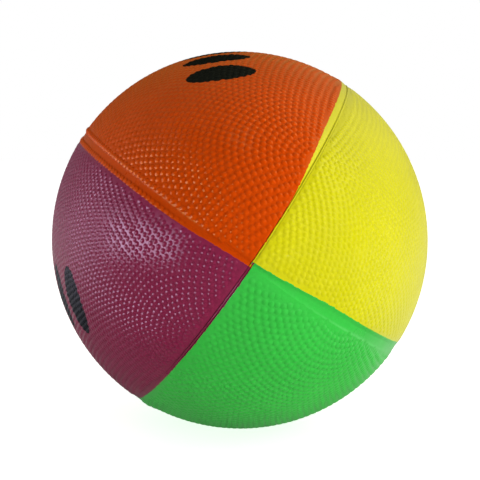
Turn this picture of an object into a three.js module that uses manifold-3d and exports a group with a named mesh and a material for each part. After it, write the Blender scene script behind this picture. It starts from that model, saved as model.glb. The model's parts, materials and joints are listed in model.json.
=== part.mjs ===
// Mini rugby ball: four moulded rubber cover panels over a rubber carcass, a thread winding and a bladder,
// with a needle valve in the middle of one panel.
// Millimetres, +Z up, long axis along Y, origin at the centre. Angles run from +X towards +Z.

import * as THREE from 'three';
import { mergeVertices } from 'three/addons/utils/BufferGeometryUtils.js';
import Module from 'manifold-3d';

// Outer shape
const LENGTH = 160; // from point to point, before the channels are pressed in
const GIRTH_DIAMETER = 104; // across the middle
const END_SHARPNESS = 1.06; // 1 is a plain ellipse, more draws the ends to a point
const SEAM_ROLL = 55.5; // degrees, from +X to the seam where the first panel starts
const REST_FLAT_DEPTH = 0.3; // how far the skin flattens where the ball lies

// Walls, from the outside in
const PANEL_THICKNESS = 1.8;
const CARCASS_THICKNESS = 0.7;
const WINDING_THICKNESS = 0.5;
const BLADDER_THICKNESS = 0.8;
const LAYER_GAP = 0.3; // between one layer and the next
const PANEL_GAP = 0.3; // between the edges of two panels

// Moulded channels over the seams
const CHANNEL_DEPTH = 0.45; // over the two seams that end at the mould's parting line
const PARTING_CHANNEL_DEPTH = 0.3; // over the two seams that lie on the parting line
const CHANNEL_HALF_WIDTH = 1.9; // along the ball's side
const CHANNEL_HALF_WIDTH_AT_POINT = 0.9; // at the two ends
const CHANNEL_RAMP = 25; // distance from the long axis where the channel reaches its full width
const CHANNEL_LIP = 0.4; // width of the round edge beside a channel

// Valve, in the middle of the ball's length
const VALVE_ANGLE = 10.5; // degrees, from +X
const VALVE_CLEARANCE = 0.3;
const PLUG_SHANK_RADIUS = 2.2;
const PLUG_SHANK_LENGTH = 11;
const PLUG_HEAD_RADIUS = 3.2;
const PLUG_HEAD_THICKNESS = 1.2;
const NEEDLE_HOLE_RADIUS = 0.9;
const NEEDLE_HOLE_DEPTH = 9; // blind, the slit below it stays shut without a needle
const NEEDLE_LEAD_IN = 0.6; // widening and depth of the hole's mouth
const STEM_WALL = 1.0; // round the plug's head
const NOSE_WALL = 1.2; // round the plug's shank, at the inner end
const NOSE_LIP = 1.0; // past the plug's inner end
const FLANGE_RIM = 5; // past the stem
const FLANGE_THICKNESS = 1.2;
const PATCH_RIM = 3; // past the flange
const PATCH_THICKNESS = 0.8;

// Panels in order round the long axis. Each takes a share of the channel at its last edge: with 0 it stops at
// the channel's middle, with 1 at the channel's far lip. channelDepth is that of the same channel.
const PANELS = [
  { name: 'panel_orange', color: 0xd4520c, channelShare: 1, channelDepth: CHANNEL_DEPTH },
  { name: 'panel_purple', color: 0x87244c, channelShare: 0.2, channelDepth: PARTING_CHANNEL_DEPTH },
  { name: 'panel_green', color: 0x3fc04a, channelShare: 1, channelDepth: CHANNEL_DEPTH },
  { name: 'panel_yellow', color: 0xe2df1c, channelShare: 0.9, channelDepth: PARTING_CHANNEL_DEPTH },
];

// Counts of facets
const PANEL_LENGTH_STEPS = 24;
const FIRST_EDGE_STEPS = 3;
const FIELD_STEPS = 11;
const LAST_EDGE_STEPS = 5;
const LAYER_LENGTH_STEPS = 14;
const LAYER_ROUND_STEPS = 20;
const VALVE_ROUND_STEPS = 24;

const HALF_LENGTH = LENGTH / 2;
const GIRTH_RADIUS = GIRTH_DIAMETER / 2;
const SEAM_STEP = (2 * Math.PI) / PANELS.length;
const EDGE_BAND_LIMIT = 0.3; // largest share of a panel's width that one edge band takes near the ends

const carcassDepth = PANEL_THICKNESS + LAYER_GAP;
const windingDepth = carcassDepth + CARCASS_THICKNESS + LAYER_GAP;
const bladderDepth = windingDepth + WINDING_THICKNESS + LAYER_GAP;
const patchDepth = bladderDepth + BLADDER_THICKNESS + LAYER_GAP;
const flangeDepth = patchDepth + PATCH_THICKNESS + LAYER_GAP;

const wasm = await Module();
wasm.setup();

// Solids and meshes

function solidOf(geometry) {
  const bare = geometry.clone();
  bare.deleteAttribute('normal');
  bare.deleteAttribute('uv');
  const merged = mergeVertices(bare, 1e-5);
  return new wasm.Manifold(new wasm.Mesh({
    numProp: 3,
    vertProperties: new Float32Array(merged.attributes.position.array),
    triVerts: new Uint32Array(merged.index.array),
  }));
}

function geometryOf(solid) {
  const { vertProperties, triVerts } = solid.getMesh();
  const geometry = new THREE.BufferGeometry();
  geometry.setAttribute('position', new THREE.BufferAttribute(vertProperties, 3));
  geometry.setIndex(new THREE.BufferAttribute(triVerts, 1));
  geometry.computeVertexNormals();
  return geometry;
}

function named(name, geometry, finish) {
  const mesh = new THREE.Mesh(geometry, new THREE.MeshStandardMaterial({ metalness: 0, ...finish }));
  mesh.name = name;
  return mesh;
}

// The ball's skin, a body of revolution about Y

// Point of the skin at latitude t, sunk by depth along the skin's normal, as distance from the axis and Y.
function skinPoint(t, depth) {
  const cos = Math.max(0, Math.cos(t));
  const normal = new THREE.Vector2(
    HALF_LENGTH * cos ** (2 - END_SHARPNESS),
    END_SHARPNESS * GIRTH_RADIUS * Math.sin(t),
  ).normalize();
  return new THREE.Vector2(
    GIRTH_RADIUS * cos ** END_SHARPNESS - depth * normal.x,
    HALF_LENGTH * Math.sin(t) - depth * normal.y,
  );
}

// Latitude at which the skin, sunk by depth, comes within a given distance of the long axis.
function latitudeAt(distance, depth) {
  let low = 0;
  let high = Math.PI / 2;
  for (let i = 0; i < 60; i++) {
    const middle = (low + high) / 2;
    if (skinPoint(middle, depth).x > distance) low = middle;
    else high = middle;
  }
  return low;
}

function revolved(depth) {
  const profile = [];
  for (let j = 0; j <= LAYER_LENGTH_STEPS; j++) {
    const point = skinPoint(Math.PI * (j / LAYER_LENGTH_STEPS - 0.5), depth);
    const onAxis = j === 0 || j === LAYER_LENGTH_STEPS;
    profile.push(new THREE.Vector2(onAxis ? 0 : point.x, point.y));
  }
  return solidOf(new THREE.LatheGeometry(profile, LAYER_ROUND_STEPS));
}

function shell(depth, thickness) {
  return revolved(depth).subtract(revolved(depth + thickness));
}

// Channels

function channelHalfWidth(distance) {
  const ramp = THREE.MathUtils.smoothstep(distance, 0, CHANNEL_RAMP);
  return THREE.MathUtils.lerp(CHANNEL_HALF_WIDTH_AT_POINT, CHANNEL_HALF_WIDTH, ramp);
}

// How far a channel sinks the skin at a sideways distance from its middle.
function channelSink(sideways, halfWidth, depth) {
  if (Math.abs(sideways) >= halfWidth) return 0;
  return depth * Math.cos((Math.PI / 2) * (sideways / halfWidth)) ** 2;
}

// How far past the channel's middle two panels meet. They meet at the middle at the ball's ends.
function splitOffset(distance, share) {
  return share * CHANNEL_HALF_WIDTH * THREE.MathUtils.smoothstep(distance, 0, CHANNEL_RAMP);
}

// Angle round the long axis of a point beside a seam.
function besideSeam(seamAngle, sideways, distance) {
  return seamAngle + Math.asin(THREE.MathUtils.clamp(sideways / distance, -1, 1));
}

// Cover panels

// Angles of the columns of points across a panel, at one distance from the long axis.
function panelColumns(seams, edges, distance) {
  const halfWidth = channelHalfWidth(distance);
  const start = besideSeam(seams[0], edges[0], distance);
  const end = besideSeam(seams[1], edges[1], distance);
  const widest = EDGE_BAND_LIMIT * (end - start);
  const firstLip = Math.max(halfWidth, edges[0]) + CHANNEL_LIP;
  const lastLip = Math.max(halfWidth, -edges[1]) + CHANNEL_LIP;
  const fieldStart = Math.min(besideSeam(seams[0], firstLip, distance), start + widest);
  const fieldEnd = Math.max(besideSeam(seams[1], -lastLip, distance), end - widest);
  const stretches = [
    [start, fieldStart, FIRST_EDGE_STEPS],
    [fieldStart, fieldEnd, FIELD_STEPS],
    [fieldEnd, end, LAST_EDGE_STEPS],
  ];
  const angles = [start];
  for (const [from, to, steps] of stretches) {
    for (let i = 1; i <= steps; i++) angles.push(THREE.MathUtils.lerp(from, to, i / steps));
  }
  return angles;
}

// A panel's solid: a grid of outer points with the channels pressed in, a grid of inner points, the two edge
// walls between them, and one pair of points at each end of the ball.
function panelSolid(panelIndex) {
  const panel = PANELS[panelIndex];
  const before = PANELS[(panelIndex + PANELS.length - 1) % PANELS.length];
  const firstSeam = THREE.MathUtils.degToRad(SEAM_ROLL) + panelIndex * SEAM_STEP;
  const seams = [firstSeam, firstSeam + SEAM_STEP];
  const tipAngle = firstSeam + SEAM_STEP / 2;
  const tipDistance = PANEL_GAP / 2 / Math.sin(SEAM_STEP / 2);
  const tipDepth = Math.max(before.channelDepth, panel.channelDepth);
  const outerTip = latitudeAt(tipDistance, tipDepth);
  const innerTip = latitudeAt(tipDistance, PANEL_THICKNESS);
  const positions = [];
  const indices = [];

  function place(angle, point) {
    positions.push(point.x * Math.cos(angle), point.y, point.x * Math.sin(angle));
    return positions.length / 3 - 1;
  }

  function triangle(a, b, c) {
    if (a !== b && b !== c && c !== a) indices.push(a, b, c);
  }

  function quad(a, b, c, d) {
    triangle(a, b, c);
    triangle(a, c, d);
  }

  const columns = FIRST_EDGE_STEPS + FIELD_STEPS + LAST_EDGE_STEPS;
  const outer = [];
  const inner = [];
  for (let j = 0; j <= PANEL_LENGTH_STEPS; j++) {
    const along = (2 * j) / PANEL_LENGTH_STEPS - 1;
    if (j === 0 || j === PANEL_LENGTH_STEPS) {
      outer.push(Array(columns + 1).fill(place(tipAngle, skinPoint(along * outerTip, tipDepth))));
      inner.push(Array(columns + 1).fill(place(tipAngle, skinPoint(along * innerTip, PANEL_THICKNESS))));
      continue;
    }
    const field = skinPoint(along * outerTip, 0);
    const inside = skinPoint(along * innerTip, PANEL_THICKNESS);
    const halfWidth = channelHalfWidth(field.x);
    const edges = [
      splitOffset(field.x, before.channelShare) + PANEL_GAP / 2,
      splitOffset(field.x, panel.channelShare) - PANEL_GAP / 2,
    ];
    const angles = panelColumns(seams, edges, field.x);
    const innerStart = besideSeam(seams[0], edges[0], inside.x);
    const innerEnd = besideSeam(seams[1], edges[1], inside.x);
    outer.push(angles.map((angle) => {
      const sunk = Math.max(
        channelSink(field.x * Math.sin(angle - seams[0]), halfWidth, before.channelDepth),
        channelSink(field.x * Math.sin(seams[1] - angle), halfWidth, panel.channelDepth),
      );
      return place(angle, skinPoint(along * outerTip, sunk));
    }));
    inner.push(angles.map((angle) => place(
      THREE.MathUtils.mapLinear(angle, angles[0], angles[columns], innerStart, innerEnd),
      inside,
    )));
  }

  for (let j = 0; j < PANEL_LENGTH_STEPS; j++) {
    for (let i = 0; i < columns; i++) {
      quad(outer[j][i], outer[j + 1][i], outer[j + 1][i + 1], outer[j][i + 1]);
      quad(inner[j][i], inner[j][i + 1], inner[j + 1][i + 1], inner[j + 1][i]);
    }
    quad(outer[j][0], inner[j][0], inner[j + 1][0], outer[j + 1][0]);
    quad(outer[j][columns], outer[j + 1][columns], inner[j + 1][columns], inner[j][columns]);
  }

  const geometry = new THREE.BufferGeometry();
  geometry.setAttribute('position', new THREE.Float32BufferAttribute(positions, 3));
  geometry.setIndex(indices);
  return solidOf(geometry);
}

// Valve, turned about its own axis, with Y as the distance from the ball's long axis

const valveDirection = new THREE.Vector3(1, 0, 0).applyAxisAngle(
  new THREE.Vector3(0, -1, 0),
  THREE.MathUtils.degToRad(VALVE_ANGLE),
);
const valveTurn = new THREE.Quaternion().setFromUnitVectors(new THREE.Vector3(0, 1, 0), valveDirection);

const valveFace = GIRTH_RADIUS;
const plugHeadUnder = valveFace - PLUG_HEAD_THICKNESS;
const plugEnd = plugHeadUnder - PLUG_SHANK_LENGTH;
const boreRadius = PLUG_SHANK_RADIUS + VALVE_CLEARANCE;
const seatRadius = PLUG_HEAD_RADIUS + VALVE_CLEARANCE;
const seatLevel = plugHeadUnder - VALVE_CLEARANCE;
const stemRadius = seatRadius + STEM_WALL;
const noseRadius = boreRadius + NOSE_WALL;
const flangeUnder = valveFace - flangeDepth - FLANGE_THICKNESS;
const noseEnd = Math.min(plugEnd, flangeUnder) - NOSE_LIP;
const flangeRadius = stemRadius + FLANGE_RIM;
const patchRadius = flangeRadius + PATCH_RIM;

function turned(points) {
  const profile = points.map(([radius, level]) => new THREE.Vector2(radius, level));
  return new THREE.LatheGeometry(profile, VALVE_ROUND_STEPS);
}

function valveSolid(points) {
  return solidOf(turned(points).applyQuaternion(valveTurn));
}

// A round bar from the ball's long axis out through the wall, to cut holes and round patches with.
function valveBar(radius) {
  return valveSolid([[0, 0], [radius, 0], [radius, GIRTH_DIAMETER], [0, GIRTH_DIAMETER]]);
}

function housingSolid() {
  const stem = valveSolid([
    [0, noseEnd],
    [noseRadius, noseEnd],
    [stemRadius, flangeUnder],
    [stemRadius, valveFace],
    [0, valveFace],
  ]);
  const bore = valveSolid([
    [0, 0],
    [boreRadius, 0],
    [boreRadius, seatLevel],
    [seatRadius, seatLevel],
    [seatRadius, GIRTH_DIAMETER],
    [0, GIRTH_DIAMETER],
  ]);
  const flange = shell(flangeDepth, FLANGE_THICKNESS).intersect(valveBar(flangeRadius));
  return flange.add(stem).subtract(bore);
}

function plugGeometry() {
  return turned([
    [0, plugEnd],
    [PLUG_SHANK_RADIUS, plugEnd],
    [PLUG_SHANK_RADIUS, plugHeadUnder],
    [PLUG_HEAD_RADIUS, plugHeadUnder],
    [PLUG_HEAD_RADIUS, valveFace],
    [NEEDLE_HOLE_RADIUS + NEEDLE_LEAD_IN, valveFace],
    [NEEDLE_HOLE_RADIUS, valveFace - NEEDLE_LEAD_IN],
    [NEEDLE_HOLE_RADIUS, valveFace - NEEDLE_HOLE_DEPTH],
    [0, valveFace - NEEDLE_HOLE_DEPTH],
  ]);
}

// Assembly

const valveHole = valveBar(stemRadius + VALVE_CLEARANCE);
const belowRest = solidOf(
  new THREE.BoxGeometry(GIRTH_DIAMETER, LENGTH, GIRTH_DIAMETER)
    .translate(0, 0, REST_FLAT_DEPTH - GIRTH_DIAMETER),
);

const ball = new THREE.Group();

PANELS.forEach(({ name, color }, index) => {
  const solid = panelSolid(index).subtract(valveHole).subtract(belowRest);
  ball.add(named(name, geometryOf(solid), { color, roughness: 0.42 }));
});

const layers = [
  ['carcass', carcassDepth, CARCASS_THICKNESS, { color: 0x2b2a2a, roughness: 0.8 }],
  ['thread_winding', windingDepth, WINDING_THICKNESS, { color: 0xe6e0d0, roughness: 0.9 }],
  ['bladder', bladderDepth, BLADDER_THICKNESS, { color: 0x1c1c1e, roughness: 0.6 }],
];
for (const [name, depth, thickness, finish] of layers) {
  ball.add(named(name, geometryOf(shell(depth, thickness).subtract(valveHole)), finish));
}

const patch = shell(patchDepth, PATCH_THICKNESS).intersect(valveBar(patchRadius)).subtract(valveHole);
ball.add(named('valve_patch', geometryOf(patch), { color: 0x232325, roughness: 0.7 }));
ball.add(named('valve_housing', geometryOf(housingSolid()), { color: 0x1f1f20, roughness: 0.55 }));

const plug = named('valve_plug', plugGeometry(), { color: 0x2a2a2b, roughness: 0.5 });
plug.quaternion.copy(valveTurn);
ball.add(plug);

export default ball;
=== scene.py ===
"""Looks of the mini rugby ball: pebbled cover panels, moulded seams, needle valve and studio.

Metres, +Z up, long axis along Y, origin at the ball's centre. Angles round the long axis run from
+X towards +Z.
"""

import json
import logging
import math
from collections.abc import Iterable
from dataclasses import dataclass, field
from enum import Enum
from functools import cached_property
from typing import NamedTuple

import bmesh
import bpy
import numpy as np
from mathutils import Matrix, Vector


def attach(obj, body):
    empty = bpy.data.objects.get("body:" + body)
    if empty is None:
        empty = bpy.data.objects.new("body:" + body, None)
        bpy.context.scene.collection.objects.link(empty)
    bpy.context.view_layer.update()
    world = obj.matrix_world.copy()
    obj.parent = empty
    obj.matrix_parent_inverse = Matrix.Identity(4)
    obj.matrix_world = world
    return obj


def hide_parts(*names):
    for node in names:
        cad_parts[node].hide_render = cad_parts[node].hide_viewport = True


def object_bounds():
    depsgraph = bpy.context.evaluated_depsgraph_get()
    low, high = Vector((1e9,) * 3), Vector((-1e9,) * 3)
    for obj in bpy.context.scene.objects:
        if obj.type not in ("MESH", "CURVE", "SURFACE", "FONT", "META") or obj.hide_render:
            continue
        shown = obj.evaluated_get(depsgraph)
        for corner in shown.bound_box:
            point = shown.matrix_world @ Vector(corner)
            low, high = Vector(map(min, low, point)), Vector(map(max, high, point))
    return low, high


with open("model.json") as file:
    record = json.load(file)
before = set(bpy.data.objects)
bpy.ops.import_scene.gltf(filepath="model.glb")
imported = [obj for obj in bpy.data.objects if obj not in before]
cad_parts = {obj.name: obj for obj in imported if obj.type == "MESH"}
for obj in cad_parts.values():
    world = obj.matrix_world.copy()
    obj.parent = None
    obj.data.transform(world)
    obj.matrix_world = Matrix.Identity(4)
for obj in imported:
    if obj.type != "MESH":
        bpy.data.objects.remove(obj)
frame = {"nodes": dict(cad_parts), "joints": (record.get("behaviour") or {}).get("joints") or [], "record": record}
CAD_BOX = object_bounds()

MM = 0.001
RIGHT = (1.0, 0.0, 0.0)
LONG_AXIS = (0.0, 1.0, 0.0)
UP = (0.0, 0.0, 1.0)
WHITE = (1.0, 1.0, 1.0)
NOISE_SPAN = (0.3, 0.7)
LOG = logging.getLogger("mini_rugby_ball")

Array = np.ndarray
Colour = tuple[float, float, float]
Direction = tuple[float, float, float] | Vector
Faces = list[tuple[int, ...]]
Piece = bpy.types.Object
Socket = bpy.types.NodeSocket
Span = tuple[float, float]


def smoothstep(low: float, high: float, value: Array) -> Array:
    """Smooth ramp from 0 at low to 1 at high."""
    share = np.clip((value - low) / (high - low), 0.0, 1.0)
    return share * share * (3.0 - 2.0 * share)


def linear(red: int, green: int, blue: int) -> Colour:
    """Turns a colour from screen values of 0 to 255 into the shader's linear values.

    Args:
        red: Red on screen.
        green: Green on screen.
        blue: Blue on screen.

    Returns:
        The three linear values.
    """
    screen = np.array([red, green, blue]) / 255.0
    low = screen / 12.92
    high = ((screen + 0.055) / 1.055) ** 2.4
    return tuple(float(value) for value in np.where(screen <= 0.04045, low, high))


class Hue(Enum):
    """The cover's colours, in order round the long axis."""

    ORANGE = "orange"
    PURPLE = "purple"
    GREEN = "green"
    YELLOW = "yellow"

    @property
    def node(self) -> str:
        """Name of the panel's node in the frame."""
        return f"panel_{self.value}"

    @property
    def slot(self) -> str:
        """Name of the panel's material slot in the record."""
        return f"{self.value}_rubber"

    @property
    def order(self) -> int:
        """Place of the panel round the long axis, from 0."""
        return list(Hue).index(self)

    @property
    def before(self) -> "Hue":
        """The neighbour whose last edge meets this panel's first edge."""
        return list(Hue)[self.order - 1]


class Grain(Enum):
    """Surface patterns of the layers inside the ball."""

    MOULDED = "moulded"
    WOUND = "wound"


@dataclass(frozen=True)
class BallShape:
    """The plain body of revolution that the panels cover."""

    half_length: float = 80 * MM
    girth_radius: float = 52 * MM
    end_sharpness: float = 1.06
    seam_roll: float = math.radians(55.5)
    rest_level: float = CAD_BOX[0].z

    def skin(self, latitude: Array, height: Array) -> tuple[Array, Array]:
        """Outline of the body, raised along its normal.

        Args:
            latitude: Angles from the middle to the ends, in radians.
            height: How far each point is raised.

        Returns:
            Distance from the long axis, and place along it.
        """
        outward, along = self.slant(latitude)
        cos = np.maximum(np.cos(latitude), 0.0)
        radius = self.girth_radius * cos**self.end_sharpness + height * outward
        return radius, self.half_length * np.sin(latitude) + height * along

    def slant(self, latitude: Array) -> tuple[Array, Array]:
        """Direction of the outline's normal.

        Args:
            latitude: Angles from the middle to the ends, in radians.

        Returns:
            The normal's part away from the long axis, and its part along it.
        """
        cos = np.maximum(np.cos(latitude), 0.0)
        outward = self.half_length * cos ** (2.0 - self.end_sharpness)
        along = self.end_sharpness * self.girth_radius * np.sin(latitude)
        length = np.hypot(outward, along)
        return outward / length, along / length

    @staticmethod
    def spun(outward: Array, along: Array, angle: Array) -> Array:
        """X, Y and Z for distances from the long axis and along it, at those angles round it."""
        return np.stack([outward * np.cos(angle), along + 0.0 * angle, outward * np.sin(angle)], axis=-1)

    def point(self, latitude: Array, angle: Array, height: Array) -> Array:
        """Places on the skin, raised along its normal."""
        return self.spun(*self.skin(latitude, height), angle)

    def normal(self, latitude: Array, angle: Array) -> Array:
        """Unit normals of the skin."""
        return self.spun(*self.slant(latitude), angle)

    def seam_angle(self, order: int) -> float:
        """Angle of the seam where the panel of that order starts."""
        return self.seam_roll + order * math.pi / 2

    @staticmethod
    def onward(angle: float) -> Direction:
        """Direction square to the plane through the long axis at that angle, to greater angles."""
        return -math.sin(angle), 0.0, math.cos(angle)


class Meridian:
    """The outline from end to end, measured by the arc from the ball's middle."""

    SAMPLES = 4001

    def __init__(self, shape: BallShape) -> None:
        """Measures the outline.

        Args:
            shape: The ball's plain body.
        """
        self.latitudes = np.linspace(-math.pi / 2, math.pi / 2, self.SAMPLES)
        self.radii, along = shape.skin(self.latitudes, np.zeros(self.SAMPLES))
        steps = np.hypot(np.diff(self.radii), np.diff(along))
        arcs = np.concatenate([[0.0], np.cumsum(steps)])
        self.reach = float(arcs[-1] / 2)
        self.arcs = arcs - self.reach
        self.slopes = np.gradient(self.radii, self.arcs)

    def latitude(self, arc: Array) -> Array:
        """Latitudes at those arcs."""
        return np.interp(arc, self.arcs, self.latitudes)

    def radius(self, arc: Array) -> Array:
        """Distances from the long axis at those arcs."""
        return np.interp(arc, self.arcs, self.radii)

    def slope(self, arc: Array) -> Array:
        """How fast the distance from the long axis grows at those arcs."""
        return np.interp(arc, self.arcs, self.slopes)

    def stops(self, finest: float, growth: float, coarsest: float) -> Array:
        """Arcs of the rows of a panel, close together at the ends.

        Args:
            finest: First step from an end.
            growth: How much the step grows with the distance from the end.
            coarsest: Largest step.

        Returns:
            Arcs from end to end, without the ends themselves.
        """
        from_end = [finest]
        while from_end[-1] < self.reach:
            from_end.append(from_end[-1] + min(coarsest, finest + growth * from_end[-1]))
        half = np.array(from_end) * (self.reach / from_end[-1])
        return np.concatenate([half - self.reach, (self.reach - half)[-2::-1]])


@dataclass(frozen=True)
class Widening:
    """A distance from a seam that changes from the ball's ends to its side."""

    at_point: float
    along_side: float
    ramp_start: float = 0.0
    ramp_end: float = 25 * MM

    def at(self, radius: Array) -> Array:
        """The distance from the seam at those distances from the long axis."""
        ramp = smoothstep(self.ramp_start, self.ramp_end, radius)
        return self.at_point + (self.along_side - self.at_point) * ramp


@dataclass(frozen=True)
class ColourEdge(Widening):
    """How far past the middle of its last seam a panel's rubber reaches."""


@dataclass(frozen=True)
class PebbleMargin(Widening):
    """Width of the smooth strip before the pebbles, and the stretch over which they rise.

    The strip is counted from the colour edge at a panel's first seam, and from the seam's middle at
    its last.
    """

    ramp_end: float = 40 * MM
    fade: float = 0.3 * MM


@dataclass(frozen=True)
class BorderRow(Widening):
    """A row of pebbles along a panel's last seam, at a distance that is negative inside the panel."""

    pitch: float = 1.8 * MM
    first_radius: float = 6 * MM
    full_radius: float = 12 * MM
    height_share: float = 1.0


@dataclass(frozen=True)
class Channel:
    """Section of a moulded channel, counted from the seam's middle over the panel that follows."""

    depth: float
    near: float
    floor: float
    far: float
    near_steepness: float = 2.0
    at_point: float = 0.7 * MM

    def section(self, onward: Array, swell: Array) -> Array:
        """Shape of the channel across the seam.

        Args:
            onward: Distance past the seam's middle, negative over the panel before it.
            swell: How far the channel has widened, from 0 at the ends to 1 along the side.

        Returns:
            Share of the channel's depth: 1 on its deepest line, 0 past its lips.
        """
        floor = self.floor * swell
        near = self.at_point + (self.near - self.at_point) * swell
        far = self.at_point + (self.far - self.at_point) * swell
        near_wall = np.clip((floor - onward) / (floor + near), 0.0, 1.0)
        far_wall = smoothstep(floor, far, onward)
        return 1.0 - np.where(onward < floor, near_wall**self.near_steepness, far_wall)


@dataclass(frozen=True)
class RaisedLip:
    """Low swelling of a panel beside its first seam, along the ball's side."""

    height: float
    onward: float
    spread: float
    start: float = 30 * MM
    end: float = 50 * MM

    def rise(self, onward: Array, radius: Array) -> Array:
        """Height of the swelling, by the distances past the seam's middle and from the long axis."""
        along_side = smoothstep(self.start, self.end, radius)
        return self.height * along_side * np.exp(-(((onward - self.onward) / self.spread) ** 2))


@dataclass(frozen=True)
class SeamRelief:
    """What the mould presses into the skin along the seams.

    Two seams lie on the mould's parting plane and carry a thin flash line. The other two cross it at
    the ends, and their channels lie further over the panel that follows. The skin lies below the
    tops of the pebbles, and the channels lie below the skin. All of it is shallower along the side.
    """

    shape: BallShape
    skin_depth: float = 0.35 * MM
    cross: Channel = Channel(0.40 * MM, near=1.4 * MM, floor=0.9 * MM, far=2.3 * MM, near_steepness=4.0)
    parting: Channel = Channel(0.20 * MM, near=1.5 * MM, floor=0.0, far=1.5 * MM)
    upper_lip: RaisedLip = RaisedLip(height=0.22 * MM, onward=2.4 * MM, spread=1.3 * MM)
    lower_lip: RaisedLip = RaisedLip(height=0.30 * MM, onward=4.0 * MM, spread=1.8 * MM)
    ramp: float = 25 * MM
    side_start: float = 30 * MM
    side_share: float = 0.36
    flash_height: float = 0.12 * MM
    flash_width: float = 0.12 * MM
    flash_groove: float = 0.22 * MM
    flash_groove_offset: float = 0.30 * MM
    flash_groove_width: float = 0.12 * MM
    shallow_groove: float = 0.25
    flash_end: Span = (24 * MM, 44 * MM)

    @property
    def widest_reach(self) -> float:
        """How far from a seam's middle a channel reaches at most."""
        return max(self.parting.near, self.parting.far, self.cross.near, self.cross.far)

    def lip(self, radius: Array) -> Array:
        """How far from a seam's middle the channels reach at those distances from the long axis."""
        return Widening(self.cross.at_point, self.widest_reach, ramp_end=self.ramp).at(radius)

    def relief_share(self, radius: Array) -> Array:
        """Height of the pebbles and depth of the channels as a share of the full one."""
        along_side = smoothstep(self.side_start, self.shape.girth_radius, radius)
        return 1.0 - (1.0 - self.side_share) * along_side

    def flash(self, from_parting: Array, from_cross: Array, radius: Array) -> Array:
        """Height of the flash line and the two fine grooves beside it.

        Args:
            from_parting: Distance from the parting plane.
            from_cross: Distance from the plane of the other two seams.
            radius: Distance from the long axis.

        Returns:
            Height above the channel's floor.
        """
        ridge = self.flash_height * np.exp(-((from_parting / self.flash_width) ** 2))
        beside = (np.abs(from_parting) - self.flash_groove_offset) / self.flash_groove_width
        shallow = (from_parting < 0.0) & (from_cross > 0.0)
        depth = self.flash_groove * np.where(shallow, self.shallow_groove, 1.0)
        fade = np.where(from_cross > 0.0, 1.0, 1.0 - smoothstep(*self.flash_end, radius))
        return (ridge - depth * np.exp(-(beside**2))) * fade

    def height(self, radius: Array, angle: Array) -> Array:
        """Height of the moulded skin over the plain body that holds the tops of the pebbles.

        Args:
            radius: Distance from the long axis.
            angle: Angle round it.

        Returns:
            The heights, below zero but for the raised lips.
        """
        from_cross = radius * np.cos(angle - self.shape.seam_roll)
        from_parting = radius * np.sin(angle - self.shape.seam_roll)
        swell = smoothstep(0.0, self.ramp, radius)
        over_cross = -from_cross * np.sign(from_parting)
        over_parting = from_parting * np.sign(from_cross)
        cross = self.cross.section(over_cross, swell) * self.cross.depth
        parting = self.parting.section(over_parting, swell) * self.parting.depth
        sunk = (self.skin_depth + np.maximum(cross, parting)) * self.relief_share(radius)
        lips = [lip.rise(over_parting, radius) for lip in (self.upper_lip, self.lower_lip)]
        return self.flash(from_parting, from_cross, radius) + np.where(from_cross > 0.0, *lips) - sunk


@dataclass(frozen=True)
class ArcCentre:
    """Middle of the arcs on which a panel's rows of pebbles lie."""

    turn: float
    arc: float


@dataclass(frozen=True)
class PrintBand:
    """A plain printed row of ovals along a panel's middle."""

    sideways: float
    half_width: float = 9.0 * MM
    half_length: float = 5.4 * MM
    pitch: float = 15 * MM
    count: int = 6
    ink: Colour = linear(20, 27, 28)


@dataclass(frozen=True)
class PanelDesign:
    """What sets one cover panel apart from the others."""

    colour: Colour
    gloss: float
    # Depth of the painted shade in the fine grooves beside the flash line, and where along the side it fades out.
    groove_painted_shade: float
    groove_end: Span
    last_edge: ColourEdge
    first_margin: PebbleMargin
    last_margin: PebbleMargin
    arc_centre: ArcCentre
    pebble_spread: float
    pebble_rise: float
    bare_tip: float
    sheen: Colour = WHITE
    border_rows: tuple[BorderRow, ...] = ()
    print_band: PrintBand | None = None


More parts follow.
